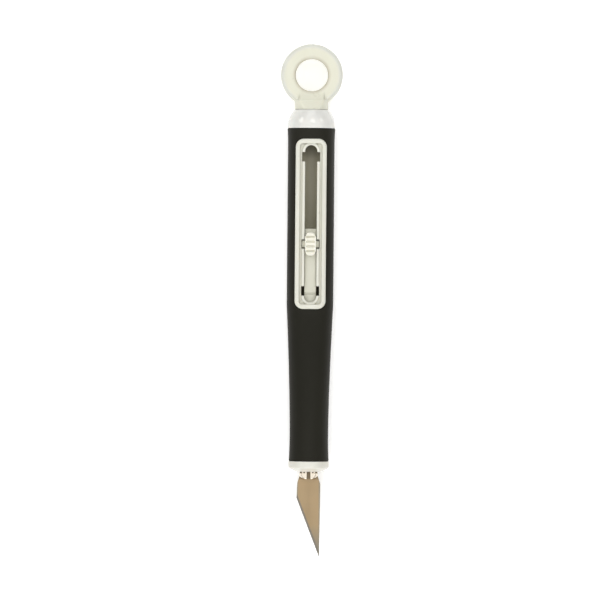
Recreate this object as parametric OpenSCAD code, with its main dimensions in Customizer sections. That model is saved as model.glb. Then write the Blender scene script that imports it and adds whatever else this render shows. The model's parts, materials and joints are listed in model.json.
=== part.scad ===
// Retractable hobby craft knife: soft sleeve over a two-shell barrel, a windowed slide
// track with a thumb button, a split collet that grips a flat blade, and a hanging ring.
// The knife lies on its back: the window looks up (+Z), the ring points to +Y, the blade
// to -Y. Heights written as "above the axis" are counted from the barrel's centre line.

/* [Overall] */
// Length from the blade's tip to the ring's far edge
overall_len = 174.4; // [174:0.1:175]
// Depth of the flat on the back that the knife lies on
back_flat = 0.33; // [0.25:0.01:0.5]

/* [Sleeve and barrel] */
// Width of the barrel along the slide window
body_w = 15.85; // [15.6:0.05:16.2]
// Height of the barrel along the slide window
body_h = 15.06; // [14.9:0.02:15.3]
// Diameter of the grip at its narrowest place
waist_w = 13.1; // [12.9:0.05:13.4]
// Width of the sleeve's front end, behind the nose
sleeve_front_w = 13.6; // [13.4:0.05:13.8]
// Width of the sleeve's rear end, below the dome
sleeve_rear_w = 16.3; // [16.1:0.05:16.6]
// Front end of the sleeve
sleeve_front_y = -54.6; // [-54.8:0.1:-54.4]
// Rear end of the sleeve
sleeve_rear_y = 58.6; // [58.5:0.1:58.8]
// Thickness of the rubber
rubber_t = 1.1; // [1:0.05:1.15]

/* [Slide window] */
// Width of the window frame
frame_w = 10.7; // [10.6:0.05:10.8]
// Length of the window frame
frame_len = 57.8; // [57.7:0.1:57.9]
// Width of the frame's crowned border
border_w = 1.6; // [1.5:0.05:1.65]
// Width of the slot
slot_w = 4.1; // [4.1:0.02:4.2]
// Width of the raised lip on each side of the slot
lip_w = 0.95; // [0.8:0.05:1]
// Length of each locking notch
notch_len = 3.2; // [3:0.1:3.3]

/* [Slider] */
// Length of the thumb button
button_len = 8.2; // [8:0.1:8.4]
// Width of the thumb button
button_w = 3.8; // [3.7:0.02:3.84]
// How far the button travels when it is pressed
press = 1; // [0.8:0.1:1]
// How far the slider travels back from its working notch
retract = 29.6; // [29.4:0.1:29.6]
// How far the slider travels forward from its working notch
advance = 15.8; // [15.6:0.1:15.8]

/* [Blade and collet] */
// Thickness of the blade
blade_t = 0.5; // [0.4:0.05:0.5]
// Width of the blade's tang
tang_w = 6; // [5.9:0.05:6.1]
// Diameter of the collet's head
collet_d = 6.6; // [6.5:0.05:6.7]
// Width of the collet's upright slit
slit_w = 0.8; // [0.7:0.05:0.9]

/* [Hanging ring] */
// Outer diameter of the ring
ring_d = 21.1; // [20.9:0.1:21.4]
// Diameter of the ring's hole
ring_hole_d = 10.9; // [10.7:0.1:11]
// Thickness of the ring
ring_t = 4.8; // [4.6:0.1:5]
// Diameter of the ring's neck
neck_d = 11.3; // [11.2:0.05:11.4]

/* [Hidden] */
$fn = 64;
eps = 0.01;
big = 40;

// Barrel outline along Y
axis_z = body_h / 2 - back_flat;
taper_y = -1.5;          // the slide section ends and the grip starts to narrow
waist_y = -46;           // narrowest place of the grip
flare_y = 53;            // the rear end starts to widen
taper_power = 1.6;
section_power = 2.5;     // squareness of the section along the window, 2 is an ellipse
rear_h_ratio = 0.926;    // height over width at the dome
sides = 48;              // points round a section
end_r = 0.45;            // rounding of the sleeve's ends
shell_front_y = -56;
shell_rear_y = 58.4;

// Bores in the barrel
slide_bore_r = 4.75;
front_bore_r = 3.6;
slide_bore_front_y = -20;
spigot_r = 4.95;         // turned-down front of the shells, inside the nose cap
spigot_y = -50;
blade_way_w = 8.6;       // flat passage for the blade's full width
blade_way_t = 1;

// Window frame
frame_y = 26.05;         // middle of the frame
frame_r = 2.5;
seat_z = 4.6;            // underside of the frame's flange, above the axis
rail_z = 3.9;            // underside of the rails under the flange
rail_inset = 0.6;
crown_z = 7.75;          // top of the crowned border
crown_r = 15;
recess_z = 5.9;          // floor of the recess
recess_r = 1;
lip_z = 6.7;             // top of the lips
track_z = 5.65;          // underside of the lips
track_half = 3;          // half width of the covered track for the tabs
slot_rear_y = 52.75;
track_rear_y = 53;
bay_rear_y = frame_y + frame_len / 2 - rail_inset;  // room for the slider's spine at the rear stop
slot_front_y = -0.6;
button_y = 19.2;         // the button in its working notch
notch_ys = [button_y + retract, button_y, button_y - advance - 0.1];
notch_half = 3.08;
fit_gap = 0.05;

// Slider
carrier_r = 4.65;
carrier_rear_y = 24.4;
carrier_front_y = -3;
block_front_y = 9;       // the full-width block is only under the button
web_r = 1.9;
deck_z = 3.5;            // flat top of the carrier block
spine_half = 2;
spine_z = 5.55;
spine_crown_r = 8;
step_y = 2.9;            // the spine's front end is lower, to pass under the barrel wall
step_z = 4.9;
rod_r = 3;
rod_front_y = -38;
button_top_z = 8.5;
button_base_z = 4.6;
cap_z = 7.85;            // above this height the button is longer than its foot
cap_overhang = 0.35;
foot_len = button_len - 2 * cap_overhang;
button_crown_r = 16;
rib_pitch = 1.6;
rib_r = 0.4;
tab_half = 2.85;
tab_len = 2.2;
tab_z = [4.8, 5.6];
stem = [3, 6];
stem_z = 1.5;
well_z = -2.3;
well_gap = 0.1;
well_open_len = 5.8;     // length over which the well is open at the spine's sides
spring_r = 1.05;
spring_wire = 0.3;
spring_turns = 5;

// Collet and blade
tang_end_y = -47.4;
shank_r = 1.58;
shank_rear_y = -29.2;
collar_r = 2.9;          // joins the jaws to the shank
jaw_root_y = -46.5;
collet_r = 3.2;
throat_y = -57.9;        // behind its head the collet is necked down
throat_r = 2.45;
dome_y = -58.6;
dome_len = 2.3;
dome_power = 4;          // squareness of the dome's outline
head_flat = 2.2;         // half height between the flats on the head
pin_y = -33;
pin_r = 0.6;
blade_tip_y = -overall_len / 2;
blade_half = 4.05;
bevel_w = 0.65;
edge_t = 0.04;

// Nose cap
nose_r = 6.95;
nose_shoulder_y = -56.6;
nose_front_y = -58.2;
nose_corner = 0.3;       // small bevel between the nose's side and its cone
nose_face_r = 4.1;
mouth_r = 3.42;
nose_skirt_r = 5.52;

// Dome and ring
dome_top_y = 64.9;
dome_depth = 9;          // full height of the quarter ellipse that the dome is cut from
plug_front_y = 54.9;
stud_r = 2;
stud_gap = 0.05;
stud_pocket_r = 3.6;
stud_pocket_y = 61;
washer_r = 3.3;
washer_t = 0.8;
stud_tip_r = 1.6;
stud_end_y = 59.2;
ring_y = overall_len / 2 - ring_d / 2;
ring_outer_round = 1.35;
ring_inner_round = 0.9;
neck_y = dome_top_y + 0.08;
neck_top_y = 68.3;
ramp_start_z = 5.5;
ramp_end_y = 70.6;
web_half = 4.2;

// ---- Functions for the barrel's outline ----

function clamp01(t) = max(0, min(1, t));
function body_share(y) = pow(clamp01((y - waist_y) / (taper_y - waist_y)), taper_power);
function rear_share(y) = pow(clamp01((y - flare_y) / (sleeve_rear_y - flare_y)), 2);
function front_share(y) = pow(clamp01((waist_y - y) / (waist_y - sleeve_front_y)), 2);

function half_w(y) = waist_w / 2 + (body_w - waist_w) / 2 * body_share(y)
    + (sleeve_rear_w - body_w) / 2 * rear_share(y)
    + (sleeve_front_w - waist_w) / 2 * front_share(y);
function h_ratio(y) = 1 + (body_h / body_w - 1) * body_share(y)
    + (rear_h_ratio - body_h / body_w) * rear_share(y);
function power_at(y) = 2 + (section_power - 2) * body_share(y) * (1 - 0.6 * rear_share(y));

function signed_pow(v, p) = sign(v) * pow(abs(v), p);
function section(y, w, h, n) = [for (i = [0:sides - 1]) let (a = 360 * i / sides)
    [w * signed_pow(cos(a), 2 / n), y, axis_z + h * signed_pow(sin(a), 2 / n)]];
function barrel_section(y, inset) =
    section(y, half_w(y) - inset, half_w(y) * h_ratio(y) - inset, power_at(y));

// Places along the barrel where a section is drawn, from front to rear
taper_steps = 9;
barrel_ys = concat([-50.5], [for (i = [0:taper_steps])
    waist_y + (taper_y - waist_y) * i / taper_steps], [flare_y, 55, 57]);

// Joins a list of equal-sized sections into one closed solid
module loft(sections) {
    count = len(sections);
    polyhedron(
        points = [for (s = sections) each s],
        faces = concat(
            [[for (i = [sides - 1:-1:0]) i]],
            [for (k = [0:count - 2], i = [0:sides - 1]) let (j = (i + 1) % sides)
                [k * sides + i, k * sides + j, (k + 1) * sides + j, (k + 1) * sides + i]],
            [[for (i = [0:sides - 1]) (count - 1) * sides + i]]));
}

// Barrel outline, drawn in by inset, from y0 to y1
module barrel_solid(inset, y0, y1) {
    loft([for (y = concat([y0], barrel_ys, [y1])) barrel_section(y, inset)]);
}

// A cylinder along Y on the barrel's axis
module rod(r, y0, y1) {
    translate([0, y0, axis_z]) rotate([-90, 0, 0]) cylinder(r = r, h = y1 - y0);
}

// A long cylinder along Y whose axis is dz above the barrel's axis
module rod_r_at(r, dz) {
    translate([0, 0, dz]) rod(r, -3 * big, 3 * big);
}

// A box that is centred on X and spans y and heights above the axis
module slab(half, y0, y1, z0, z1) {
    translate([-half, y0, axis_z + z0]) cube([2 * half, y1 - y0, z1 - z0]);
}

module rounded_rect(w, l, r) {
    square([w - 2 * r, l], center = true);
    square([w, l - 2 * r], center = true);
    for (x = [-1, 1], y = [-1, 1]) translate([x * (w / 2 - r), y * (l / 2 - r)]) circle(r);
}

// A rounded rectangle at the frame's middle, extruded between two heights
module frame_prism(grow, z0, z1) {
    translate([0, frame_y, axis_z + z0])
        linear_extrude(z1 - z0) rounded_rect(frame_w + 2 * grow, frame_len + 2 * grow, frame_r + grow);
}

// A straight slot with round ends, between two ends along Y
module slot_shape(w, y0, y1) {
    translate([-w / 2, y0 + w / 2]) square([w, y1 - y0 - w]);
    for (y = [y0 + w / 2, y1 - w / 2]) translate([0, y]) circle(d = w);
}

module above_floor() {
    translate([-big, -2 * big - 10, 0]) cube([2 * big, 4 * big + 20, big]);
}

// ---- Handle ----

module rubber_sleeve() {
    color([0.13, 0.13, 0.12]) intersection() {
        difference() {
            loft(concat(
                [for (a = [0, 25, 55, 90]) barrel_section(sleeve_front_y + end_r * (1 - cos(a)),
                    end_r * (1 - sin(a)))],
                [for (y = barrel_ys) barrel_section(y, 0)],
                [for (a = [90, 55, 25, 0]) barrel_section(sleeve_rear_y - end_r * (1 - cos(a)),
                    end_r * (1 - sin(a)))]));
            barrel_solid(rubber_t - eps, sleeve_front_y - 1, sleeve_rear_y + 1);
            frame_prism(fit_gap, 0, big);
        }
        above_floor();
    }
}

// Both shells before they are split: outside, bores and the flat passage for the blade
module shell_blank() {
    difference() {
        union() {
            intersection() {
                barrel_solid(rubber_t, sleeve_front_y, shell_rear_y);
                translate([-big, spigot_y, -big]) cube([2 * big, 3 * big, 3 * big]);
            }
            rod(spigot_r, shell_front_y, spigot_y + 1);
        }
        rod(slide_bore_r, slide_bore_front_y, shell_rear_y + 1);
        rod(front_bore_r, shell_front_y - 1, slide_bore_front_y + 1);
        slab(blade_way_w / 2, shell_front_y - 1, slide_bore_front_y + 1, -blade_way_t / 2, blade_way_t / 2);
    }
}

module barrel_front_shell() {
    color([0.86, 0.85, 0.8]) difference() {
        intersection() {
            shell_blank();
            translate([-big, -2 * big, axis_z]) cube([2 * big, 4 * big, big]);
        }
        frame_prism(fit_gap, seat_z, big);
        frame_prism(-rail_inset, rail_z, big);
        slab(track_half, slot_front_y - 1, track_rear_y, 0, seat_z + 1);
        slab(spine_half + 0.1, slide_bore_front_y, 0, 0, track_z);
    }
}

module barrel_back_shell() {
    color([0.84, 0.83, 0.78]) intersection() {
        shell_blank();
        translate([-big, -2 * big, 0]) cube([2 * big, 4 * big, axis_z]);
    }
}

module window_bezel() {
    recess_w = frame_w - 2 * border_w;
    recess_len = frame_len - 2 * border_w;
    color([0.93, 0.92, 0.87]) difference() {
        union() {
            difference() {
                intersection() {
                    frame_prism(0, seat_z, crown_z);
                    rod_r_at(crown_r, crown_z - crown_r);
                }
                translate([0, frame_y, axis_z + recess_z])
                    linear_extrude(big) rounded_rect(recess_w, recess_len, recess_r);
            }
            frame_prism(-rail_inset - fit_gap, rail_z, seat_z + eps);
            intersection() {
                translate([0, 0, axis_z + seat_z]) linear_extrude(lip_z - seat_z)
                    slot_shape(slot_w + 2 * lip_w, slot_front_y - lip_w, slot_rear_y + lip_w);
                translate([0, frame_y, axis_z]) linear_extrude(big)
                    rounded_rect(recess_w + eps, recess_len + eps, recess_r);
            }
        }
        translate([0, 0, axis_z]) linear_extrude(big) slot_shape(slot_w, slot_front_y, slot_rear_y);
        slab(track_half, frame_y - frame_len / 2 - 1, track_rear_y, 0, track_z);
        slab(spine_half + 0.1, track_rear_y - 1, bay_rear_y, 0, track_z);
        for (y = notch_ys) slab(notch_half, y - notch_len / 2, y + notch_len / 2, 0, lip_z + 1);
    }
}

module nose_cap() {
    color([0.9, 0.9, 0.86]) difference() {
        translate([0, sleeve_front_y, axis_z]) rotate([90, 0, 0]) rotate_extrude() nose_profile();
        rod(spigot_r, shell_front_y, spigot_y + 1);
        rod(mouth_r, nose_front_y - 1, shell_front_y + 1);
        slab(blade_way_w / 2, nose_front_y - 1, shell_front_y + 1, -blade_way_t / 2, blade_way_t / 2);
    }
}

// Half outline of the nose, from the skirt inside the sleeve to the smaller front face
module nose_profile() {
    skirt = sleeve_front_y - spigot_y;
    side = sleeve_front_y - nose_shoulder_y;
    full = sleeve_front_y - nose_front_y;
    polygon([[0, skirt], [nose_skirt_r, skirt], [nose_skirt_r, 0], [nose_r, 0], [nose_r, side],
        [nose_r - nose_corner, side + nose_corner], [nose_face_r, full], [0, full]]);
}

module end_cap() {
    steps = 9;
    rim = 0.5;
    color([0.9, 0.91, 0.9]) difference() {
        intersection() {
            union() {
                loft([for (i = [0:steps]) let (
                    y = sleeve_rear_y + (dome_top_y - sleeve_rear_y) * i / steps,
                    s = sqrt(1 - pow((y - sleeve_rear_y) / dome_depth, 2)),
                    w = sleeve_rear_w / 2 * s)
                    section(y, w, w * (rear_h_ratio + (1 - rear_h_ratio) * i / steps),
                        2.2 - 0.2 * i / steps)]);
                rod(slide_bore_r, plug_front_y, sleeve_rear_y + rim);
            }
            above_floor();
        }
        rod(stud_r + stud_gap, plug_front_y - 1, dome_top_y + 1);
        rod(stud_pocket_r, plug_front_y - 1, stud_pocket_y);
    }
}

// ---- Slider ----

module slide_carrier() {
    color([0.82, 0.81, 0.74]) difference() {
        union() {
            intersection() {
                rod(carrier_r, block_front_y, carrier_rear_y);
                slab(big, block_front_y - 1, carrier_rear_y + 1, -big, deck_z);
            }
            rod(web_r, carrier_front_y, block_front_y + 1);
            intersection() {
                slab(spine_half, step_y, carrier_rear_y, 0, spine_z);
                rod_r_at(spine_crown_r, spine_z - spine_crown_r);
            }
            intersection() {
                slab(spine_half, carrier_front_y, step_y + eps, 0, step_z);
                rod_r_at(spine_crown_r, step_z - spine_crown_r);
            }
            rod(rod_r, rod_front_y, carrier_front_y);
        }
        translate([0, button_y, axis_z + deck_z]) linear_extrude(big) {
            rounded_rect(button_w + 2 * well_gap, foot_len + 2 * well_gap, button_w / 2 - 0.15 + well_gap);
            square([2 * spine_half + 2, well_open_len], center = true);
        }
        slab(stem[0] / 2 + well_gap, button_y - stem[1] / 2 - well_gap,
            button_y + stem[1] / 2 + well_gap, well_z, big);
        rod(shank_r + 0.02, rod_front_y - 1, shank_rear_y + 0.4);
        cross_pin(pin_r, carrier_r);
    }
}

// The collet's cross pin, along X
module cross_pin(r, half) {
    translate([-half, pin_y, axis_z]) rotate([0, 90, 0]) cylinder(r = r, h = 2 * half);
}

// The button's outline at a given length, between two heights
module button_prism(l, z0, z1) {
    translate([0, button_y, axis_z + z0]) linear_extrude(z1 - z0)
        rounded_rect(button_w, l, button_w / 2 - 0.15);
}

module thumb_button() {
    color([0.98, 0.96, 0.91]) difference() {
        union() {
            intersection() {
                union() {
                    button_prism(button_len, cap_z, button_top_z);
                    button_prism(foot_len, button_base_z, cap_z + eps);
                }
                translate([-big, button_y, axis_z + button_top_z - button_crown_r]) rotate([0, 90, 0])
                    cylinder(r = button_crown_r, h = 2 * big, $fn = 128);
                rod_r_at(3.2, button_top_z - 3.2);
            }
            slab(tab_half, button_y - tab_len / 2, button_y + tab_len / 2, tab_z[0], tab_z[1]);
            slab(stem[0] / 2, button_y - stem[1] / 2, button_y + stem[1] / 2, stem_z, button_base_z + 1);
        }
        for (k = [-1.5:1:1.5]) translate([-1.3, button_y + k * rib_pitch,
            axis_z + button_top_z - (1 - cos(asin(k * rib_pitch / button_crown_r))) * button_crown_r + 0.05])
            rotate([0, 90, 0]) cylinder(r = rib_r, h = 2.6, $fn = 24);
    }
}

// Coil spring in the carrier's well, swept round a helix
module button_spring() {
    steps = 14;
    ring = 8;
    z0 = well_z + spring_wire / 2 + 0.02;
    z1 = stem_z - spring_wire / 2 - 0.02;
    count = spring_turns * steps + 1;
    function along(k) = 360 * k / steps;
    points = [for (k = [0:count - 1], i = [0:ring - 1]) let (
        a = along(k), b = 360 * i / ring,
        r = spring_r + spring_wire / 2 * cos(b))
        [r * cos(a), button_y + r * sin(a),
            axis_z + z0 + (z1 - z0) * k / (count - 1) + spring_wire / 2 * sin(b)]];
    faces = concat(
        [[for (i = [ring - 1:-1:0]) i]],
        [for (k = [0:count - 2], i = [0:ring - 1]) let (j = (i + 1) % ring)
            [k * ring + i, k * ring + j, (k + 1) * ring + j, (k + 1) * ring + i]],
        [[for (i = [0:ring - 1]) (count - 1) * ring + i]]);
    color([0.7, 0.71, 0.72]) polyhedron(points, faces);
}

// ---- Collet and blade ----

module collet() {
    color([0.93, 0.9, 0.86]) difference() {
        intersection() {
            union() {
                rod(shank_r, rod_front_y - 1, shank_rear_y);
                rod(collar_r, -40, rod_front_y);
                rod(collet_r, throat_y, -40 + eps);
                rod(throat_r, dome_y - eps, throat_y + eps);
                translate([0, dome_y, axis_z]) rotate([90, 0, 0]) rotate_extrude() polygon(concat([[0, 0]],
                    [for (a = [0:15:90]) [collet_d / 2 * pow(cos(a), 2 / dome_power), dome_len * sin(a)]]));
            }
            union() {
                slab(big, throat_y, shank_rear_y + 1, -big, big);
                slab(big, -2 * big, throat_y + eps, -head_flat, head_flat);
            }
        }
        slab(big, -2 * big, jaw_root_y, -blade_t / 2 - 0.01, blade_t / 2 + 0.01);
        slab(slit_w / 2, -2 * big, jaw_root_y, -big, big);
        slit_mouth();
        cross_pin(pin_r, big);
    }
}

// The upright slit widens towards the collet's front
module slit_mouth() {
    front_y = dome_y - dome_len - 0.2;
    translate([0, 0, axis_z - big]) linear_extrude(2 * big)
        polygon([[-0.7, front_y], [0.7, front_y], [0.35, nose_front_y], [-0.35, nose_front_y]]);
}

module collet_pin() {
    color([0.6, 0.61, 0.62]) cross_pin(pin_r - 0.01, 2.9);
}

module blade() {
    heel = [-blade_half, -67];
    tip = [blade_half - 0.25, blade_tip_y];
    color([0.66, 0.57, 0.44]) difference() {
        translate([0, 0, axis_z - blade_t / 2]) linear_extrude(blade_t) difference() {
            polygon([[-tang_w / 2, tang_end_y], [tang_w / 2, tang_end_y], [tang_w / 2, -59],
                [3.25, -59.9], [blade_half, -62.3], tip, heel, [-blade_half + 0.25, -61.9], [-3.2, -59.9],
                [-tang_w / 2, -59]]);
            translate([0, tang_end_y - 6.8]) {
                square([3.2, 5.4 - 2.4], center = true);
                square([3.2 - 2.4, 5.4], center = true);
                for (x = [-0.4, 0.4], y = [-1.5, 1.5]) translate([x, y]) circle(1.2);
            }
        }
        for (side = [0, 1]) edge_bevel(heel, tip, side);
    }
}

// Wedge ground off one face along the cutting edge
module edge_bevel(heel, tip, side) {
    run = tip - heel;
    angle = atan2(run[1], run[0]);
    drop = blade_t / 2 - edge_t / 2;
    translate([heel[0], heel[1], axis_z]) rotate([0, 0, angle]) rotate([side * 180, 0, 0])
        rotate([90, 0, 90]) translate([0, 0, -5]) linear_extrude(norm(run) + 10)
        polygon(side == 0
            ? [[-1, edge_t / 2 - drop / bevel_w], [bevel_w, blade_t / 2], [bevel_w, 1], [-1, 1]]
            : [[1, edge_t / 2 - drop / bevel_w], [-bevel_w, blade_t / 2], [-bevel_w, 1], [1, 1]]);
}

// ---- Hanging ring ----

module hanging_ring() {
    color([0.93, 0.92, 0.85]) {
        translate([0, ring_y, axis_z]) rotate_extrude($fn = 96) ring_profile();
        intersection() {
            rod(neck_d / 2, neck_y, neck_top_y);
            neck_ramp();
        }
        intersection() {
            slab(web_half, neck_top_y - eps, ramp_end_y, -big, big);
            neck_ramp();
        }
        rod(stud_r, stud_pocket_y - 0.1, neck_y + eps);
        rod(stud_tip_r, stud_end_y, stud_pocket_y);
    }
}

// Section of the ring: flat faces with a small rounding at the hole and a large one outside
module ring_profile() {
    r0 = ring_hole_d / 2;
    r1 = ring_d / 2;
    h = ring_t / 2;
    mid = (r0 + r1) / 2;
    translate([r0 + ring_inner_round, -h])
        square([r1 - r0 - ring_inner_round - ring_outer_round, ring_t]);
    translate([r0, ring_inner_round - h]) square([mid - r0, ring_t - 2 * ring_inner_round]);
    translate([mid, ring_outer_round - h]) square([r1 - mid, ring_t - 2 * ring_outer_round]);
    for (s = [-1, 1]) {
        translate([r0 + ring_inner_round, s * (h - ring_inner_round)]) circle(ring_inner_round);
        translate([r1 - ring_outer_round, s * (h - ring_outer_round)]) circle(ring_outer_round);
    }
}

// The neck's faces slope from its round base down to the ring's flat faces
module neck_ramp() {
    h = ring_t / 2 - 0.02;
    translate([-big, 0, axis_z]) rotate([90, 0, 90]) linear_extrude(2 * big)
        polygon([[neck_y - 1, -ramp_start_z], [neck_y + 0.3, -ramp_start_z], [ramp_end_y, -h],
            [ramp_end_y, h], [neck_y + 0.3, ramp_start_z], [neck_y - 1, ramp_start_z]]);
}

module swivel_washer() {
    color([0.65, 0.66, 0.68]) difference() {
        rod(washer_r, stud_pocket_y - 0.1 - washer_t, stud_pocket_y - 0.1);
        rod(stud_tip_r + eps, stud_end_y - 1, stud_pocket_y + 1);
    }
}

rubber_sleeve();
barrel_front_shell();
barrel_back_shell();
window_bezel();
nose_cap();
end_cap();
slide_carrier();
thumb_button();
button_spring();
collet();
collet_pin();
blade();
hanging_ring();
swivel_washer();
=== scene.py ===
import json
import math

import bpy
import numpy as np
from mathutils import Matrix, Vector


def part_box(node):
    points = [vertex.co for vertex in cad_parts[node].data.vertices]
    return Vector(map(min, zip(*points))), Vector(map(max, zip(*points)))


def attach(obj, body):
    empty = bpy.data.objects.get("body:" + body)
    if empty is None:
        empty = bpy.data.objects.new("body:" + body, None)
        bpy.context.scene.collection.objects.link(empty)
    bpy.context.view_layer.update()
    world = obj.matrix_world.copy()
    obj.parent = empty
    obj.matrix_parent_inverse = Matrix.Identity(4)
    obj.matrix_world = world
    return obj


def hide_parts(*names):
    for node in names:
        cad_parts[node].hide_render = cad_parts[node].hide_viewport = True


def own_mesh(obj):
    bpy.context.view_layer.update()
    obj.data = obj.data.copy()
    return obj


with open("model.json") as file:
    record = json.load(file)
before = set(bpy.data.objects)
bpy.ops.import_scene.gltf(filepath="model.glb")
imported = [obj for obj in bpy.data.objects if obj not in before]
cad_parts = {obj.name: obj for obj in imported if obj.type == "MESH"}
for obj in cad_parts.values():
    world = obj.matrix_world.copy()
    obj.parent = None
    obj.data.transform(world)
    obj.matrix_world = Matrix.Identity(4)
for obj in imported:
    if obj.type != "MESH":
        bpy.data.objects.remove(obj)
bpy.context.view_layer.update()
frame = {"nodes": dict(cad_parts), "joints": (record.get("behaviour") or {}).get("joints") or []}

# Lengths below are in millimetres, with heights counted from the barrel's centre line,
# until build_mesh() turns them into the frame's metres.
MM = 0.001


# ---- Places and sizes that come from the frame ----

def joint(name):
    return next(j for j in frame["joints"] if j["name"] == name)


AXIS = joint("ring_swivel")["pos_m"][2] / MM


def corners(node):
    """Lowest and highest corner of a CAD node, in millimetres from the barrel's centre line."""
    low, high = (np.array(c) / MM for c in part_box(node))
    return low - [0, 0, AXIS], high - [0, 0, AXIS]


SLEEVE_LOW, SLEEVE_HIGH = corners("rubber_sleeve")
FRAME_LOW, FRAME_HIGH = corners("window_bezel")
BUTTON_LOW, BUTTON_HIGH = corners("thumb_button")
CARRIER_LOW, CARRIER_HIGH = corners("slide_carrier")
NOSE_LOW, NOSE_HIGH = corners("nose_cap")
CAP_LOW, CAP_HIGH = corners("end_cap")
RING_LOW, RING_HIGH = corners("hanging_ring")
COLLET_LOW, COLLET_HIGH = corners("collet")
BLADE_LOW, BLADE_HIGH = corners("blade")
SPRING_LOW, SPRING_HIGH = corners("button_spring")

BUTTON_Y = (BUTTON_LOW[1] + BUTTON_HIGH[1]) / 2
FRAME_Y = (FRAME_LOW[1] + FRAME_HIGH[1]) / 2
RETRACT = joint("carrier_slide")["range_m"][1] / MM
ADVANCE = -joint("carrier_slide")["range_m"][0] / MM

# Barrel outline, as in the CAD
BODY_W, BODY_H = 15.85, 15.06
WAIST_W = 13.1
FRONT_W, REAR_W = 13.6, 16.3
TAPER_Y, WAIST_Y, FLARE_Y = -1.5, -46.0, 53.0
TAPER_POWER, SECTION_POWER = 1.6, 2.5
REAR_RATIO = 0.926
RUBBER = 1.1

# Window frame: its slot with raised lips and notches, the slider's track and the bay behind it
SLOT_HALF, SLOT_FRONT, SLOT_REAR, LIP = 2.05, -0.6, 52.75, 0.95
NOTCH_HALF, NOTCH_LEN = 3.08, 3.2
TRACK_HALF, TRACK_REAR, TRACK_Z = 3.0, 53.0, 5.65
BAY_HALF, BAY_REAR = 2.1, FRAME_HIGH[1] - 0.6

# Window frame: border, recess and the rails that sit inside the barrel
BORDER, EDGE_X, CORNER = 1.6, FRAME_HIGH[0] - 0.1, 2.8
RECESS_X, RECESS_Y = FRAME_HIGH[0] - BORDER, FRAME_HIGH[1] - FRAME_Y - BORDER
RAIL_INSET, RAIL_CORNER, RECESS_CORNER = 0.65, 1.9, 1.0
RAIL_Z, SEAT_Z, RECESS_Z, LIP_Z = 3.9, 4.6, 5.9, 6.7
CROWN_Z, CROWN_R = 7.75, 15.0

# Cross pin between collet and carrier
PIN_Y, PIN_R = -33.0, 0.6

# Blade: the ends of its cutting edge and the width of the ground strip
HEEL, TIP = (BLADE_LOW[0], -67.0), (BLADE_HIGH[0] - 0.25, BLADE_LOW[1])
BEVEL = 0.65


# ---- Shaping: solids given as signed distances, negative inside ----

def rect(x, y, half_x, half_y, r):
    """Distance to a rectangle with rounded corners, centred on the origin."""
    qx, qy = np.abs(x) - (half_x - r), np.abs(y) - (half_y - r)
    return np.hypot(np.maximum(qx, 0), np.maximum(qy, 0)) + np.minimum(np.maximum(qx, qy), 0) - r


def stadium(x, y, y0, y1, r):
    """Distance to a straight slot shape with round ends at y0 and y1."""
    middle, half = (y0 + y1) / 2, (y1 - y0) / 2 - r
    return np.hypot(x, np.maximum(np.abs(y - middle) - half, 0)) - r


def span(v, low, high):
    return np.maximum(low - v, v - high)


def share(value):
    """The value held between 0 and 1."""
    return np.clip(value, 0, 1)


def both(a, b, r=0.0):
    """Where a and b overlap, with the edge between them rounded to radius r."""
    return np.minimum(-r, np.maximum(a, b)) + np.hypot(np.maximum(r + a, 0), np.maximum(r + b, 0))


def either(a, b, r=0.0):
    """a and b together, with a fillet of radius r where they meet."""
    return np.maximum(r, np.minimum(a, b)) - np.hypot(np.maximum(r - a, 0), np.maximum(r - b, 0))


def cut(a, b, r=0.0):
    return both(a, -b, r)


def surface_net(field, low, high, step):
    """Vertices and quads of the surface where field is zero, on a grid of that step."""
    low, high = np.array(low) - 2 * step, np.array(high) + 2 * step
    axes = [np.arange(a, b + step, step) for a, b in zip(low, high)]
    x, y, z = np.meshgrid(*axes, indexing="ij", sparse=True)
    f = np.broadcast_to(field(x, y, z), [len(a) for a in axes])
    inside = f < 0
    shifts = [(i, j, k) for i in (0, 1) for j in (0, 1) for k in (0, 1)]
    nx, ny, nz = (n - 1 for n in inside.shape)
    count = sum(inside[i:nx + i, j:ny + j, k:nz + k].astype(np.int8) for i, j, k in shifts)
    cells = np.argwhere((count > 0) & (count < 8))
    index = np.full(count.shape, -1, np.int64)
    index[tuple(cells.T)] = np.arange(len(cells))
    total, crossings = np.zeros((len(cells), 3)), np.zeros(len(cells))
    for a in shifts:
        for d in range(3):
            if a[d]:
                continue
            b = tuple(a[n] + (n == d) for n in range(3))
            fa, fb = f[tuple((cells + a).T)], f[tuple((cells + b).T)]
            hit = (fa < 0) != (fb < 0)
            t = fa[hit] / (fa[hit] - fb[hit])
            total[hit] += np.array(a) + t[:, None] * np.eye(3)[d]
            crossings[hit] += 1
    vertices = low + (cells + total / crossings[:, None]) * step
    quads = []
    for d in range(3):
        u, v = (d + 1) % 3, (d + 2) % 3
        first = [slice(1, -1)] * 3
        first[d] = slice(0, -1)
        second = list(first)
        second[d] = slice(1, None)
        here, there = inside[tuple(first)], inside[tuple(second)]
        edges = np.argwhere(here != there)
        outward = here[tuple(edges.T)]
        at = edges + np.array([0 if n == d else 1 for n in range(3)])
        ring = []
        for du, dv in ((-1, -1), (0, -1), (0, 0), (-1, 0)):
            cell = at.copy()
            cell[:, u] += du
            cell[:, v] += dv
            ring.append(index[tuple(cell.T)])
        ring = np.stack(ring, 1)
        ring[~outward] = ring[~outward][:, ::-1]
        quads.append(ring)
    return settle(field, vertices, step), np.concatenate(quads)


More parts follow.
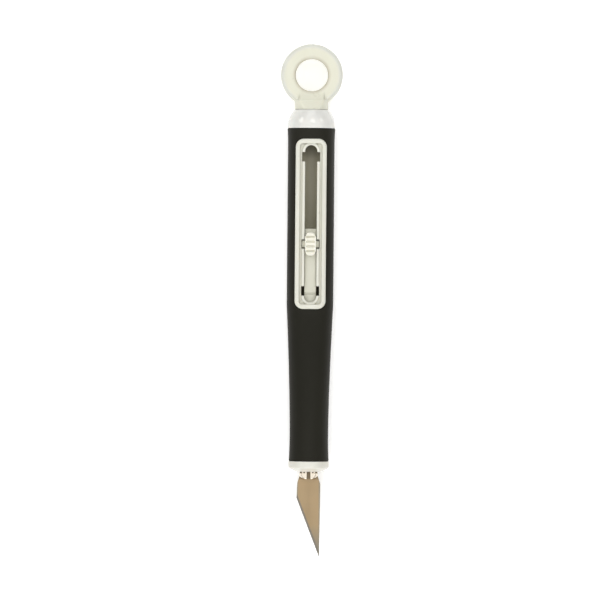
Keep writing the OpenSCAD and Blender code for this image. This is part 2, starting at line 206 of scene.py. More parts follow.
def settle(field, points, step):
    """Moves points onto the zero surface along the field's gradient."""
    rounds, h, farthest, least_slope = 3, step * 0.05, 0.4 * step, 0.25
    for _ in range(rounds):
        value = field(*points.T)
        slope = np.stack([(field(*(points + h * e).T) - field(*(points - h * e).T)) / (2 * h)
                          for e in np.eye(3)], 1)
        size = np.maximum((slope ** 2).sum(1), least_slope)
        move = -(value / size)[:, None] * slope
        points = points + np.clip(move, -farthest, farthest)
    return points


# ---- Meshes ----

def build_mesh(name, vertices, faces, smooth=True):
    vertices = (np.asarray(vertices, float) + [0, 0, AXIS]) * MM
    mesh = bpy.data.meshes.new(name)
    mesh.from_pydata([tuple(v) for v in vertices], [], [[int(i) for i in q] for q in faces])
    mesh.validate()
    if smooth:
        mesh.shade_smooth()
    piece = bpy.data.objects.new(name, mesh)
    bpy.context.scene.collection.objects.link(piece)
    return piece


def implicit(name, field, low, high, step):
    return build_mesh(name, *surface_net(field, low, high, step))


def ring_faces(rings, sides, closed=False):
    """Quads between neighbouring rings of points, with end caps unless the rings form a loop."""
    faces = []
    for k in range(rings if closed else rings - 1):
        a, b = k * sides, (k + 1) % rings * sides
        faces += [(a + i, a + (i + 1) % sides, b + (i + 1) % sides, b + i) for i in range(sides)]
    if not closed:
        faces += [tuple(range(sides))[::-1], tuple(range((rings - 1) * sides, rings * sides))]
    return faces


def freeze(piece):
    """Bakes a piece's modifiers into its mesh."""
    bpy.context.view_layer.update()
    graph = bpy.context.evaluated_depsgraph_get()
    mesh = bpy.data.meshes.new_from_object(piece.evaluated_get(graph))
    piece.modifiers.clear()
    piece.data = mesh


def subtract(piece, tool):
    step = piece.modifiers.new("cut", "BOOLEAN")
    step.operation = "DIFFERENCE"
    step.solver = "EXACT"
    step.object = tool
    freeze(piece)
    bpy.data.objects.remove(tool)


def set_sharp_by_angle(piece, degrees):
    piece.data.set_sharp_from_angle(angle=math.radians(degrees))


# ---- Materials ----

def srgb(r, g, b):
    """A screen colour, 0 to 255 a channel, as linear RGBA."""
    def linear(c):
        c /= 255
        return c / 12.92 if c <= 0.04045 else ((c + 0.055) / 1.055) ** 2.4
    return (linear(r), linear(g), linear(b), 1)


class Nodes:
    """A material under construction, in the object's own coordinates."""

    def __init__(self, name, **sockets):
        self.material = bpy.data.materials.new(name)
        self.material.use_nodes = True
        self.tree = self.material.node_tree
        self.shader = self.tree.nodes["Principled BSDF"]
        self.place = self.tree.nodes.new("ShaderNodeTexCoord").outputs["Object"]
        for socket, value in sockets.items():
            self.shader.inputs[socket.replace("_", " ")].default_value = value

    def node(self, kind, inputs=(), **settings):
        made = self.tree.nodes.new("ShaderNode" + kind)
        for key, value in settings.items():
            setattr(made, key, value)
        for key, value in dict(inputs).items():
            if isinstance(value, bpy.types.NodeSocket):
                self.tree.links.new(value, made.inputs[key])
            else:
                made.inputs[key].default_value = value
        return made

    def math(self, operation, a, b=0.0):
        return self.node("Math", {0: a, 1: b}, operation=operation).outputs[0]

    def axis(self, letter):
        return self.node("SeparateXYZ", {"Vector": self.place}).outputs[letter]

    def noise(self, scale, detail=3.0, stretch=(1, 1, 1), roughness=0.5):
        """Noise with features of about 1/scale metres, longer along an axis of small stretch."""
        mapped = self.node("Mapping", {"Vector": self.place, "Scale": stretch})
        return self.node("TexNoise", {"Vector": mapped.outputs[0], "Scale": scale, "Detail": detail,
                                      "Roughness": roughness}).outputs["Fac"]

    def remap(self, value, low, high, to_low, to_high):
        return self.node("MapRange", {"Value": value, "From Min": low, "From Max": high,
                                      "To Min": to_low, "To Max": to_high}).outputs["Result"]

    def fade(self, distance, start, end, to_start, to_end):
        """remap() for a distance, with start and end in millimetres."""
        return self.remap(distance, start * MM, end * MM, to_start, to_end)

    def outside(self, coordinate, middle, half):
        """How far a coordinate lies outside a band, given by middle and half width in mm."""
        offset = self.math("ABSOLUTE", self.math("SUBTRACT", coordinate, middle * MM))
        return self.math("SUBTRACT", offset, half * MM)

    def blend(self, factor, a, b):
        """Colour a where factor is 0, colour b where it is 1."""
        mix = self.node("Mix", data_type="RGBA")
        self.tree.links.new(factor, mix.inputs["Factor"])
        # The node's colour sockets are inputs 6 and 7 and output 2.
        for socket, value in ((6, a), (7, b)):
            if isinstance(value, bpy.types.NodeSocket):
                self.tree.links.new(value, mix.inputs[socket])
            else:
                mix.inputs[socket].default_value = value
        return mix.outputs[2]

    def mottle(self, pattern, a, b, low=0.3, high=0.7):
        return self.blend(self.remap(pattern, low, high, 0, 1), a, b)

    def colour(self, value):
        self.tree.links.new(value, self.shader.inputs["Base Color"])

    def rough(self, value):
        self.tree.links.new(value, self.shader.inputs["Roughness"])

    def bump(self, *heights):
        """Each height is (value, strength, distance in millimetres); they add up in turn."""
        normal = None
        for value, strength, distance in heights:
            made = self.node("Bump", {"Height": value, "Strength": strength,
                                      "Distance": distance * MM})
            if normal is not None:
                self.tree.links.new(normal, made.inputs["Normal"])
            normal = made.outputs["Normal"]
        self.tree.links.new(normal, self.shader.inputs["Normal"])


def plastic(name, light, shade, rough, coat=0.0, subsurface=0.0, coat_rough=0.12):
    """Injection-moulded plastic with faint flow mottling, uneven gloss and a very slight ripple.

    Gives the material and its colour, which still has to be connected."""
    m = Nodes(name, IOR=1.5, Coat_Weight=coat, Coat_Roughness=coat_rough,
              Subsurface_Weight=subsurface, Subsurface_Radius=(0.9, 0.7, 0.5),
              Subsurface_Scale=1.2 * MM)
    flow = m.noise(160, 3, (1, 0.35, 1))
    specks = m.noise(1500, 2)
    m.rough(m.remap(m.noise(420, 4), 0.3, 0.7, rough - 0.05, rough + 0.07))
    m.bump((flow, 0.10, 0.2), (specks, 0.05, 0.04))
    return m, m.mottle(flow, light, shade)


def moulded_plastic(name, light, shade, **finish):
    m, base = plastic(name, light, shade, **finish)
    m.colour(base)
    return m.material


def barrel_material():
    """The shells' plastic, with painted shade that darkens it towards the slot's rear end."""
    unshaded_y, shaded_y = SLOT_REAR - 4.25, SLOT_REAR - 0.25
    m, base = plastic("barrel_plastic", srgb(184, 180, 160), srgb(176, 172, 152), rough=0.5)
    # painted shade: darker towards the slot's rear end, where the frame's end shades the inside
    m.colour(m.blend(m.fade(m.axis("Y"), unshaded_y, shaded_y, 0, 0.7), base, srgb(96, 90, 70)))
    return m.material


def frame_material():
    """The window frame's plastic, with painted shade in the recess along the foot of its walls."""
    shaded_z, unshaded_z, shade_start, shade_full = RECESS_Z + 0.2, RECESS_Z + 0.5, -0.9, -0.3
    m, base = plastic("cream_plastic", srgb(218, 218, 207), srgb(214, 213, 202),
                      rough=0.32, coat=0.1, subsurface=0.1)
    wall = m.math("MAXIMUM", m.outside(m.axis("X"), 0, RECESS_X),
                  m.outside(m.axis("Y"), FRAME_Y, RECESS_Y))
    low = m.fade(m.axis("Z"), AXIS + shaded_z, AXIS + unshaded_z, 1, 0)
    # painted shade at the foot of the recess walls
    painted_shade = m.math("MULTIPLY", m.fade(wall, shade_start, shade_full, 0, 0.5), low)
    m.colour(m.blend(painted_shade, base, srgb(185, 182, 167)))
    return m.material


def nose_material():
    """White plastic, with painted shade that turns it greyer towards the nose's sides."""
    middle, side = 3.0, 6.2
    m, base = plastic("nose_plastic", srgb(219, 218, 210), srgb(214, 213, 204),
                      rough=0.2, coat=0.3, subsurface=0.1)
    across = m.outside(m.axis("X"), 0, 0)
    # painted shade: greyer towards the sides
    m.colour(m.blend(m.fade(across, middle, side, 0, 0.9), base, srgb(205, 202, 192)))
    return m.material


def button_material():
    """The button's plastic, with painted shade on its low side tabs and in its grooves."""
    top, shaded_depth, lit_depth = AXIS + BUTTON_HIGH[2], 1.2, 0.5
    m, base = plastic("button_plastic", srgb(231, 229, 216), srgb(227, 225, 211),
                      rough=0.38, subsurface=0.1)
    # painted shade: darker below the button's top, in the grooves and on the tabs
    painted_shade = m.fade(m.axis("Z"), top - shaded_depth, top - lit_depth, 0.6, 0)
    m.colour(m.blend(painted_shade, base, srgb(190, 188, 170)))
    return m.material


def rubber_material():
    """Soft-touch rubber: near black, matte, with a fine moulded grain and rubbed patches."""
    m = Nodes("soft_rubber", IOR=1.5, Specular_IOR_Level=0.19, Sheen_Weight=0.06,
              Sheen_Roughness=0.3)
    m.shader.inputs["Sheen Tint"].default_value = srgb(210, 206, 196)
    rubbed = m.noise(45, 4, (1, 0.4, 1))
    grain = m.noise(5200, 3, roughness=0.6)
    pores = m.node("TexVoronoi", {"Vector": m.place, "Scale": 3400.0}, feature="SMOOTH_F1")
    m.colour(m.mottle(rubbed, srgb(25, 24, 16), srgb(31, 30, 22), low=0.35))
    m.rough(m.remap(rubbed, 0.3, 0.7, 0.72, 0.60))
    m.bump((grain, 0.22, 0.06), (pores.outputs["Distance"], 0.12, 0.05))
    return m.material


def ring_material():
    """The ring's cream plastic, with painted shade round its hole and on its rim."""
    outer_r = (RING_HIGH[0] - RING_LOW[0]) / 2
    dark_r, light_r, face_r, rim_r = 5.6, 6.8, 8.8, 9.7
    neck_end, rim_start = 67.5, 69.5
    m, base = plastic("ring_plastic", srgb(219, 219, 202), srgb(215, 214, 196),
                      rough=0.32, coat=0.1, subsurface=0.1)
    flat = m.node("VectorMath", {0: m.place, 1: (1, 1, 0)}, operation="MULTIPLY").outputs["Vector"]
    centre = (0, (RING_HIGH[1] - outer_r) * MM, 0)
    radius = m.node("VectorMath", {0: flat, 1: centre}, operation="DISTANCE").outputs["Value"]
    past_neck = m.fade(m.axis("Y"), neck_end, rim_start, 0, 1)
    # painted shade on the rim that faces sideways
    rim = m.math("MULTIPLY", m.fade(radius, face_r, rim_r, 0, 1), past_neck)
    base = m.blend(rim, base, srgb(210, 211, 202))
    # painted shade round the hole's edge
    m.colour(m.blend(m.fade(radius, dark_r, light_r, 0.85, 0), base, srgb(194, 189, 172)))
    return m.material


def ground_edge(m):
    """1 on the strip along the cutting edge, 0 on the rest of the blade."""
    run = np.array(TIP) - HEEL
    across = np.array([-run[1], run[0]]) / np.hypot(*run)
    start = float(across @ HEEL)
    offset = m.node("VectorMath", {0: m.place, 1: (*across, 0)}, operation="DOT_PRODUCT")
    return m.fade(offset.outputs["Value"], start + 0.93 * BEVEL, start + BEVEL, 1, 0)


def blade_material():
    """Bronze-coloured coating on rolled steel, worn grey at the tip, sides and ground edge."""
    tip_y, worn_len, shade_front, shade_rear = BLADE_LOW[1], 11, -61.0, -60.4
    flat_x, side_x = 3.3, 3.8
    m = Nodes("bronze_blade", Metallic=1.0, Anisotropic=0.4)
    lines = m.noise(900, 3, (0.06, 1, 1))
    tint = m.noise(70, 4)
    stain = m.noise(240, 5, (1, 0.5, 1))
    along, across = m.axis("Y"), m.outside(m.axis("X"), 0, 0)
    base = m.mottle(tint, srgb(156, 135, 105), srgb(149, 131, 104), 0.35, 0.68)
    base = m.blend(m.remap(stain, 0.55, 0.8, 0, 0.4), base, srgb(150, 140, 112))
    base = m.blend(m.fade(along, tip_y, tip_y + worn_len, 0.85, 0), base, srgb(109, 114, 113))
    # painted shade where the blade enters the collet's mouth
    base = m.blend(m.fade(along, shade_front, shade_rear, 0, 0.6), base, srgb(104, 96, 80))
    base = m.blend(m.fade(across, flat_x, side_x, 0, 0.8), base, srgb(128, 126, 114))
    m.colour(m.blend(ground_edge(m), base, srgb(136, 130, 121)))
    m.rough(m.remap(lines, 0.3, 0.7, 0.30, 0.42))
    m.bump((lines, 0.12, 0.03))
    return m.material


def polished_metal():
    """Turned and polished metal, with painted shade inside the collet's upright slit."""
    slit_x, jaw_x = 0.55, 0.7
    m = Nodes("polished_collet", Metallic=1.0)
    turned = m.noise(1400, 2, (1, 6, 1))
    bright = m.mottle(m.noise(300, 3), srgb(219, 210, 195), srgb(211, 201, 185))
    across = m.outside(m.axis("X"), 0, 0)
    # painted shade inside the slit
    m.colour(m.blend(m.fade(across, slit_x, jaw_x, 1, 0), bright, srgb(92, 82, 66)))
    m.rough(m.remap(turned, 0.3, 0.7, 0.10, 0.20))
    m.bump((turned, 0.06, 0.03))
    return m.material


def drawn_wire():
    m = Nodes("drawn_wire", Metallic=1.0)
    drawn = m.noise(2200, 3)
    m.colour(m.mottle(drawn, srgb(176, 178, 182), srgb(150, 151, 154)))
    m.rough(m.remap(drawn, 0.3, 0.7, 0.25, 0.4))
    m.bump((drawn, 0.1, 0.02))
    return m.material


MATERIALS = {
    "rubber_grip": rubber_material(),
    "white_plastic": moulded_plastic("white_plastic", srgb(222, 222, 218), srgb(218, 218, 213),
                                     rough=0.1, coat=0.3, subsurface=0.1, coat_rough=0.03),
    "button_plastic": button_material(),
    "inner_plastic": moulded_plastic("inner_plastic", srgb(202, 201, 187), srgb(197, 196, 180),
                                     rough=0.42),
    "barrel_plastic": barrel_material(),
    "blade_steel": blade_material(),
    "collet_metal": polished_metal(),
    "spring_steel": drawn_wire(),
}


def finish_piece(piece, node, body, slot, material=None):
    """Gives a piece its material and its body, and hides the CAD node that it stands for.

    The material is the slot's unless another is given."""
    piece.data.materials.clear()
    piece.data.materials.append(material or MATERIALS[slot])
    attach(piece, body)
    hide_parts(node)
    return piece


def finish_node(node, slot, round_edges=0.0):
    """Keeps a CAD node's own shape and gives it a material and, where asked, rounded edges."""
    piece = frame["nodes"][node]
    for n in range(len(piece.material_slots)):
        piece.material_slots[n].link = "OBJECT"
        piece.material_slots[n].material = MATERIALS[slot]
    if round_edges:
        bevel = piece.modifiers.new("edges", "BEVEL")
        bevel.width = round_edges * MM
        bevel.segments = 2
        bevel.limit_method = "ANGLE"
        bevel.angle_limit = math.radians(35)
        bevel.harden_normals = True


# ---- Sleeve and dome: lofts of the barrel's squared-off oval section ----

def barrel_size(y):
    """Half width, half height and squareness of the barrel's section at y."""
    body = share((y - WAIST_Y) / (TAPER_Y - WAIST_Y)) ** TAPER_POWER
    rear = share((y - FLARE_Y) / (SLEEVE_HIGH[1] - FLARE_Y)) ** 2
    front = share((WAIST_Y - y) / (WAIST_Y - SLEEVE_LOW[1])) ** 2
    width = (WAIST_W + (BODY_W - WAIST_W) * body + (REAR_W - BODY_W) * rear
             + (FRONT_W - WAIST_W) * front) / 2
    ratio = 1 + (BODY_H / BODY_W - 1) * body + (REAR_RATIO - BODY_H / BODY_W) * rear
    power = 2 + (SECTION_POWER - 2) * body * (1 - 0.6 * rear)
    return width, width * ratio, power


def section(y, width, height, power, sides):
    """Points of a squared-off oval, kept above the flat that the knife lies on."""
    a = np.linspace(0, 2 * np.pi, sides, endpoint=False)
    x = width * np.sign(np.cos(a)) * np.abs(np.cos(a)) ** (2 / power)
    z = height * np.sign(np.sin(a)) * np.abs(np.sin(a)) ** (2 / power)
    return np.stack([x, np.full(sides, float(y)), np.maximum(z, -AXIS)], 1)


def window_prism():
    """A tool that cuts the sleeve's window, a hair wider than the frame's flange."""
    gap, steps, top = 0.06, 12, 20.0
    half_x, half_y = EDGE_X + gap, (FRAME_HIGH[1] - FRAME_LOW[1]) / 2 + gap
    outline = []
    for n, (sx, sy) in enumerate(((1, 1), (-1, 1), (-1, -1), (1, -1))):
        for k in range(steps + 1):
            a = math.pi / 2 * (n + k / steps)
            outline.append((sx * (half_x - CORNER) + CORNER * math.cos(a),
                            FRAME_Y + sy * (half_y - CORNER) + CORNER * math.sin(a)))
    points = [(x, y, z) for z in (0.0, top) for x, y in outline]
    return build_mesh("window_tool", points, ring_faces(2, len(outline)), smooth=False)


def make_sleeve():
    """The sleeve as one closed loft, outside to the rear and back inside, with the window cut out.

    Rings stand closer at the window's ends, where the surface dips to a rounded lip."""
    sides, lip, end_round = 224, 0.4, 0.45
    front, rear = SLEEVE_LOW[1], SLEEVE_HIGH[1]
    close = np.arange(-2 * lip, 2 * lip + 0.1, 0.4 * lip)
    rows = sorted(set(np.round(np.concatenate([
        np.linspace(front + end_round, TAPER_Y, 56), np.linspace(TAPER_Y, FLARE_Y, 40),
        np.linspace(FLARE_Y, rear - end_round, 16),
        FRAME_LOW[1] + close, FRAME_HIGH[1] + close]), 3)))
    turn = [(end_round * (1 - math.cos(a)), end_round * (1 - math.sin(a)))
            for a in np.radians([0, 20, 45, 70])]
    outer = [(front + along, inset) for along, inset in turn] + [(y, 0) for y in rows] \
        + [(rear - along, inset) for along, inset in turn[::-1]]
    rings = []
    for y, inset in outer:
        w, h, p = barrel_size(y)
        ring = section(y, w - inset, h - inset, p, sides)
        distance = rect(ring[:, 0], ring[:, 1] - FRAME_Y, EDGE_X, FRAME_HIGH[1] - FRAME_Y, CORNER)
        near = share((lip - np.maximum(distance, 0)) / lip)
        drop = lip - np.sqrt(np.maximum(lip ** 2 - (near * lip) ** 2, 0))
        ring[:, 2] -= np.where(ring[:, 2] > 0, drop, 0)
        rings.append(ring)
    for y in [rear] + rows[::-4] + [front]:
        w, h, p = barrel_size(y)
        rings.append(section(y, w - RUBBER, h - RUBBER, p, sides))
    faces = ring_faces(len(rings), sides, closed=True)
    piece = build_mesh("rubber_sleeve_skin", np.concatenate(rings), faces)
    subtract(piece, window_prism())
    piece.data.shade_smooth()
    set_sharp_by_angle(piece, 40)
    return finish_piece(piece, "rubber_sleeve", "handle", "rubber_grip")


def make_end_cap():
    """Glossy dome with the plug that closes the barrel and the bore for the ring's stud."""
    sides, base_y, top_y, depth = 128, SLEEVE_HIGH[1], CAP_HIGH[1], 9.0
    edge, chamfer, plug_r, bore_r, pocket_r, pocket_y = 0.1, 0.15, 4.75, 2.05, 3.6, 61.0
    base_w = REAR_W / 2
    rings = []
    for t in np.linspace(0, 1, 28):
        y = base_y + (top_y - base_y) * t
        w = base_w * math.sqrt(1 - ((y - base_y) / depth) ** 2)
        inset = edge - math.sqrt(max(edge ** 2 - max(y - (top_y - edge), 0) ** 2, 0))
        ratio = REAR_RATIO + (1 - REAR_RATIO) * t
        rings.append(section(y, w - inset, (w - inset) * ratio, 2.2 - 0.2 * t, sides))
    for y, r in ((top_y, bore_r + chamfer), (top_y - chamfer, bore_r), (pocket_y, bore_r),
                 (pocket_y, pocket_r), (CAP_LOW[1], pocket_r), (CAP_LOW[1], plug_r),
                 (base_y, plug_r)):
        rings.append(section(y, r, r, 2, sides))
    faces = ring_faces(len(rings), sides, closed=True)
    piece = build_mesh("end_cap_dome", np.concatenate(rings), faces)
    set_sharp_by_angle(piece, 50)
    return finish_piece(piece, "end_cap", "handle", "white_plastic")


# ---- Window frame, slider and button ----

def bezel_field(x, y, z):
    """Crowned border, sunk recess, lips round the slot, rails below, track and three notches."""
    v = y - FRAME_Y
    half_x, half_y = FRAME_HIGH[0], FRAME_HIGH[1] - FRAME_Y
    crown = np.hypot(x, z - (CROWN_Z - CROWN_R)) - CROWN_R
    border = both(both(rect(x, v, EDGE_X, half_y, CORNER), crown, 0.5), SEAT_Z - z)
    recess = both(rect(x, v, RECESS_X, RECESS_Y, RECESS_CORNER), RECESS_Z - z, 0.2)
    solid = cut(border, recess, 0.45)
    rails = both(rect(x, v, half_x - RAIL_INSET, half_y - RAIL_INSET, RAIL_CORNER),
                 span(z, RAIL_Z, SEAT_Z + 0.2))
    lips = both(stadium(x, y, SLOT_FRONT - LIP, SLOT_REAR + LIP, SLOT_HALF + LIP), z - LIP_Z, 0.38)
    within = np.maximum(SEAT_Z - z, rect(x, v, RECESS_X + 0.3, RECESS_Y + 0.3, RECESS_CORNER))
    solid = either(np.minimum(solid, rails), both(lips, within), 0.12)
    solid = cut(solid, stadium(x, y, SLOT_FRONT, SLOT_REAR, SLOT_HALF), 0.12)
    track = np.minimum(np.maximum(np.abs(x) - TRACK_HALF, y - TRACK_REAR),
                       np.maximum(np.abs(x) - BAY_HALF, y - BAY_REAR))
    solid = cut(solid, np.maximum(track, z - TRACK_Z))
    for notch in (BUTTON_Y + RETRACT, BUTTON_Y, BUTTON_Y - ADVANCE - 0.1):
        solid = cut(solid, rect(x, y - notch, NOTCH_HALF, NOTCH_LEN / 2, 0.2), 0.1)
    return solid


def make_bezel():
    piece = implicit("window_bezel_frame", bezel_field, FRAME_LOW, FRAME_HIGH, 0.13)
    return finish_piece(piece, "window_bezel", "handle", "cream_plastic", frame_material())


def button_field(x, y, z):
    """Crowned thumb piece with four grooves, on a foot with side tabs and a stem for the spring."""
    v = y - BUTTON_Y
    half_x, half_y, top = 1.9, (BUTTON_HIGH[1] - BUTTON_LOW[1]) / 2, BUTTON_HIGH[2]
    crown_r, cross_r, body_z, foot_z = 16, 3.2, 7.85, 4.6
    pitch, groove_half, groove_depth, groove_x = 1.6, 0.34, 0.75, 1.4
    tab_half, tab_low, tab_high = 1.1, 4.8, 5.6
    stem_x, stem_y = 1.5, 3.0
    crown = np.hypot(v, z - (top - crown_r)) - crown_r
    across = np.hypot(x, z - (top - cross_r)) - cross_r
    body = both(rect(x, v, half_x, half_y, half_x - 0.15), both(crown, across, 0.4), 0.35)
    foot = both(rect(x, v, half_x - 0.05, half_y - 0.35, half_x - 0.2),
                span(z, foot_z, body_z + 0.35))
    body = np.minimum(np.maximum(body, body_z - z), foot)
    for k in (-1.5, -0.5, 0.5, 1.5):
        at = k * pitch
        crest = top - at * at / (2 * crown_r)
        groove = rect(v - at, z - crest, groove_half, groove_depth, 0.3)
        body = cut(body, both(groove, np.abs(x) - groove_x, 0.15), 0.12)
    tabs = both(rect(x, v, BUTTON_HIGH[0], tab_half, 0.2), span(z, tab_low, tab_high), 0.12)
    stem = np.maximum(rect(x, v, stem_x, stem_y, 0.2), span(z, BUTTON_LOW[2], foot_z + 1))
    return np.minimum(np.minimum(body, tabs), stem)


def make_button():
    piece = implicit("thumb_button_cap", button_field, BUTTON_LOW, BUTTON_HIGH, 0.09)
    return finish_piece(piece, "thumb_button", "button", "button_plastic")


def carrier_field(x, y, z):
    """Block in the bore, rod to the collet, spine in the slot, wells for button and spring."""
    v = y - BUTTON_Y
    radius = np.hypot(x, z)
    front, rear, block_y, web_y = CARRIER_LOW[1], CARRIER_HIGH[1], 9.0, -3.0
    block_r, block_z, web_r, rod_r, socket_r, socket_y = 4.65, 3.5, 1.9, 3.0, 1.6, -28.8
    spine_half, spine_z, spine_r, step_y, step_len, step_z = 2.0, 4.9, 8, 2.9, 0.9, 0.65
    well_half, side_half, pocket_x, pocket_y, pocket_z = 3.85, 2.9, 1.6, 3.1, -2.3
    block = both(both(radius - block_r, span(y, block_y, rear), 0.25), z - block_z, 0.1)
    block = np.minimum(block, np.maximum(radius - web_r, span(y, web_y, block_y + 1)))
    top = spine_z + step_z * share((y - step_y + step_len) / step_len)
    spine = both(np.abs(x) - spine_half, np.hypot(x, z - (top - spine_r)) - spine_r, 0.15)
    spine = np.maximum(both(spine, span(y, web_y, rear), 0.15), -z)
    rod = both(radius - rod_r, span(y, front, web_y), 0.2)
    solid = either(np.minimum(block, rod), spine, 0.1)
    well = np.minimum(rect(x, v, spine_half, well_half, spine_half - 0.15),
                      rect(x, v, spine_half + 1, side_half, 0.1))
    solid = cut(solid, np.maximum(well, block_z - z))
    solid = cut(solid, np.maximum(rect(x, v, pocket_x, pocket_y, 0.1), pocket_z - z))
    solid = cut(solid, np.maximum(radius - socket_r, y - socket_y))
    return cut(solid, np.hypot(y - PIN_Y, z) - PIN_R)


def make_carrier():
    piece = implicit("slide_carrier_body", carrier_field, CARRIER_LOW, CARRIER_HIGH, 0.17)
    return finish_piece(piece, "slide_carrier", "carrier", "inner_plastic")


def make_spring():
    """Coil spring under the button, with closed end turns."""
    wire, radius, turns, per_turn, sides = 0.15, 1.05, 5, 40, 10
    # Each closed end takes this share of the coil's length and rises this far.
    end, end_rise = 0.1, 1.6 * wire
    count = turns * per_turn + 1
    t = np.linspace(0, 1, count)
    low, high = SPRING_LOW[2] + wire, SPRING_HIGH[2] - wire
    z = low + end_rise * (share(t / end) + share((t - 1 + end) / end)) \
        + (high - low - 2 * end_rise) * share((t - end) / (1 - 2 * end))
    a = 2 * np.pi * turns * t[:, None]
    b = np.linspace(0, 2 * np.pi, sides, endpoint=False)[None]
    r = radius + wire * np.cos(b)
    points = np.stack([r * np.cos(a), BUTTON_Y + r * np.sin(a), z[:, None] + wire * np.sin(b)], 2)
    piece = build_mesh("button_spring_coil", points.reshape(-1, 3), ring_faces(count, sides))
    finish_piece(piece, "button_spring", "carrier", "spring_steel")
    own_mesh(piece)


# ---- Nose, collet and blade ----

def nose_field(x, y, z):
    """Cap with a conical front, a skirt in the sleeve and a mouth keyed for collet and blade."""
    radius = np.hypot(x, z)
    rear, front = SLEEVE_LOW[1], NOSE_LOW[1]
    rim_r, cone_y, front_r, skirt_r = 6.95, -56.75, 4.1, 5.52
    bore_r, bore_y, mouth_r, key_x, key_z = 4.95, -56.0, 3.42, 4.3, 0.5
    outer = both(both(radius - rim_r, y - rear, 0.18), front - y, 0.25)
    run = np.array([cone_y - front, rim_r - front_r])
    run /= np.hypot(*run)
    cone = (radius - front_r) * run[0] + (front - y) * run[1]
    skirt = both(radius - skirt_r, span(y, rear - 1, NOSE_HIGH[1]), 0.1)
    solid = np.minimum(both(outer, cone, 0.45), skirt)
    solid = cut(solid, np.maximum(radius - bore_r, bore_y - y))
    solid = cut(solid, radius - mouth_r, 0.2)
    return cut(solid, rect(x, z, key_x, key_z, 0.15), 0.12)


def make_nose():
    piece = implicit("nose_cap_shell", nose_field, NOSE_LOW, NOSE_HIGH, 0.14)
    return finish_piece(piece, "nose_cap", "handle", "white_plastic", nose_material())


def collet_field(x, y, z):
    """Four jaws with a domed, flatted head on one shank, split by a slot and an upright slit."""
    radius = np.hypot(x, z)
    head_r, dome_y, dome_len, power, flat_z = 3.3, -58.6, 2.3, 4.0, 2.2
    throat_r, throat_y, jaw_r, jaw_end = 2.45, -57.9, 3.2, -40
    collar_r, collar_end, shank_r = 2.9, -38, 1.58
    split_end, slot_half = -46.5, 0.26
    slit_half, slit_flare, flare_y, flare_len = 0.4, 0.2, -58.2, 2.5
    jaws = both(radius - jaw_r, span(y, throat_y, jaw_end), 0.1)
    reach = np.maximum(dome_y - y, 0) / dome_len
    dome = (((radius / head_r) ** power + reach ** 2 + 1e-9) ** (1 / power) - 1) * dome_len
    head = both(both(dome, y - dome_y, 0.12), np.abs(z) - flat_z, 0.12)
    throat = both(radius - throat_r, span(y, dome_y - 0.3, throat_y + 0.3))
    body = np.minimum(np.minimum(jaws, head), np.maximum(throat, np.abs(z) - flat_z))
    body = np.minimum(body, both(radius - collar_r, span(y, jaw_end - 0.5, collar_end), 0.1))
    body = np.minimum(body, both(radius - shank_r, span(y, collar_end - 1, COLLET_HIGH[1]), 0.2))
    body = cut(body, np.maximum(np.abs(z) - slot_half, y - split_end))
    slit = slit_half + slit_flare * share((flare_y - y) / flare_len)
    body = cut(body, np.maximum(np.abs(x) - slit, y - split_end), 0.1)
    return cut(body, np.hypot(y - PIN_Y, z) - PIN_R)


def make_collet():
    piece = implicit("collet_jaws", collet_field, COLLET_LOW, COLLET_HIGH, 0.1)
    return finish_piece(piece, "collet", "carrier", "collet_metal")


# ---- Hanging ring ----

def ring_field(x, y, z):
    """Flat ring on a round neck that slopes into its faces, with a stud through the dome."""
    outer_r = (RING_HIGH[0] - RING_LOW[0]) / 2
    hole_r, half_t, web_half = 5.45, 2.4, 4.2
    neck_r, neck_z, neck_y, neck_end, ramp_end = 5.65, 5.5, 64.98, 68.3, 70.6
    stud_r, stud_y, tip_r = 2.0, 60.9, 1.6
    radius = np.hypot(x, y - (RING_HIGH[1] - outer_r))
    around = np.hypot(x, z)
    band = both(both(radius - outer_r, np.abs(z) - half_t, 1.35), hole_r - radius, 0.9)
    slope = (neck_z - half_t) / (ramp_end - neck_y)
    ramp = (np.abs(z) - neck_z + slope * (y - neck_y)) / math.hypot(1, slope)
    neck = both(both(around - neck_r, span(y, neck_y, neck_end), 0.06), ramp, 0.35)
    web = both(np.maximum(np.abs(x) - web_half, span(y, neck_end - 0.3, ramp_end + 0.8)),
               np.maximum(ramp, hole_r + 0.5 - radius), 0.4)
    stud = both(around - stud_r, span(y, stud_y, neck_y + 0.5))
    tip = both(around - tip_r, span(y, RING_LOW[1], stud_y + 0.6), 0.2)
    solid = either(either(neck, web, 0.4), band, 0.6)
    return np.minimum(solid, np.minimum(stud, tip))


def make_ring():
    piece = implicit("hanging_ring_loop", ring_field, RING_LOW, RING_HIGH, 0.16)
    return finish_piece(piece, "hanging_ring", "ring", "cream_plastic", ring_material())


make_sleeve()
make_end_cap()
make_bezel()
make_button()
make_carrier()
make_spring()
make_nose()
make_collet()
make_ring()
finish_node("barrel_front_shell", "barrel_plastic")
finish_node("barrel_back_shell", "barrel_plastic")
finish_node("collet_pin", "spring_steel")
finish_node("swivel_washer", "spring_steel")
finish_node("blade", "blade_steel", 0.02)


# ---- Floor, light and camera ----

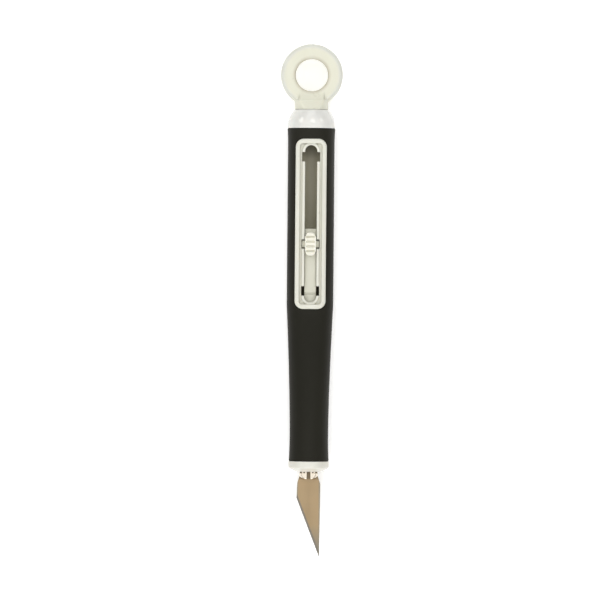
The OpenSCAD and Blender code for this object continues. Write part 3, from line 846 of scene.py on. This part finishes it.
def make_floor():
    """A pale floor, a hair below the knife so that the two never share a plane."""
    half, z = 3.0, -0.02 * MM
    corner_points = [(-half, -half, z), (half, -half, z), (half, half, z), (-half, half, z)]
    mesh = bpy.data.meshes.new("floor")
    mesh.from_pydata(corner_points, [], [(0, 1, 2, 3)])
    floor = bpy.data.objects.new("floor", mesh)
    bpy.context.scene.collection.objects.link(floor)
    m = Nodes("pale_floor")
    m.shader.inputs["Roughness"].default_value = 0.9
    m.shader.inputs["Specular IOR Level"].default_value = 0.1
    m.colour(m.blend(m.noise(3), (0.93, 0.93, 0.925, 1), (0.95, 0.95, 0.945, 1)))
    m.shader.inputs["Emission Color"].default_value = (1, 1, 0.995, 1)
    m.shader.inputs["Emission Strength"].default_value = 0.30
    mesh.materials.append(m.material)


def add_light(name, place, target, size, power, colour):
    lamp = bpy.data.lights.new(name, "AREA")
    lamp.shape = "SQUARE"
    lamp.size = size
    lamp.energy = power
    lamp.color = colour
    holder = bpy.data.objects.new(name, lamp)
    bpy.context.scene.collection.objects.link(holder)
    holder.location = place
    direction = np.array(target) - np.array(place)
    holder.rotation_euler = Vector(direction).to_track_quat("-Z", "Y").to_euler()


def make_light():
    """A large soft lamp overhead, two fills, and three softboxes that the dome mirrors."""
    white, middle, dome = (1.0, 0.995, 0.985), (0, 0, 0), (0, 0.06, 0)
    softbox_distance = 1.6
    softboxes = (((-0.67, 0.45, 0.58), 0.45, 2.6), ((0.08, 0.36, 0.93), 0.4, 1.8),
                 ((0.67, 0.45, 0.58), 0.35, 1.1))
    world = bpy.data.worlds.new("studio")
    world.use_nodes = True
    world.node_tree.nodes["Background"].inputs["Color"].default_value = (*white, 1)
    world.node_tree.nodes["Background"].inputs["Strength"].default_value = 0.24
    bpy.context.scene.world = world
    add_light("overhead", (-0.15, 0.1, 3.2), middle, 5.5, 109.0, white)
    add_light("front_fill", (0, -2.2, 1.2), (0, -0.05, 0), 1.6, 28.0, white)
    add_light("back_fill", (0, 2.4, 1.3), dome, 1.4, 9.0, white)
    for direction, size, power in softboxes:
        place = tuple(softbox_distance * c for c in direction)
        add_light("softbox", place, dome, size, power, white)


def make_camera():
    """Straight above, with the knife a little right of the middle and leaning by half a degree."""
    distance, seen_width, sensor_mm = 2.5, 0.204, 36
    camera = bpy.data.cameras.new("camera")
    camera.sensor_width = sensor_mm
    camera.lens = sensor_mm * distance / seen_width
    camera.clip_start = 0.01
    holder = bpy.data.objects.new("camera", camera)
    bpy.context.scene.collection.objects.link(holder)
    holder.location = (-0.0034, 0.0002, AXIS * MM + distance)
    holder.rotation_euler = (0, 0, math.radians(0.485))
    bpy.context.scene.camera = holder


make_floor()
make_light()
make_camera()
bpy.context.scene.view_settings.view_transform = "Standard"
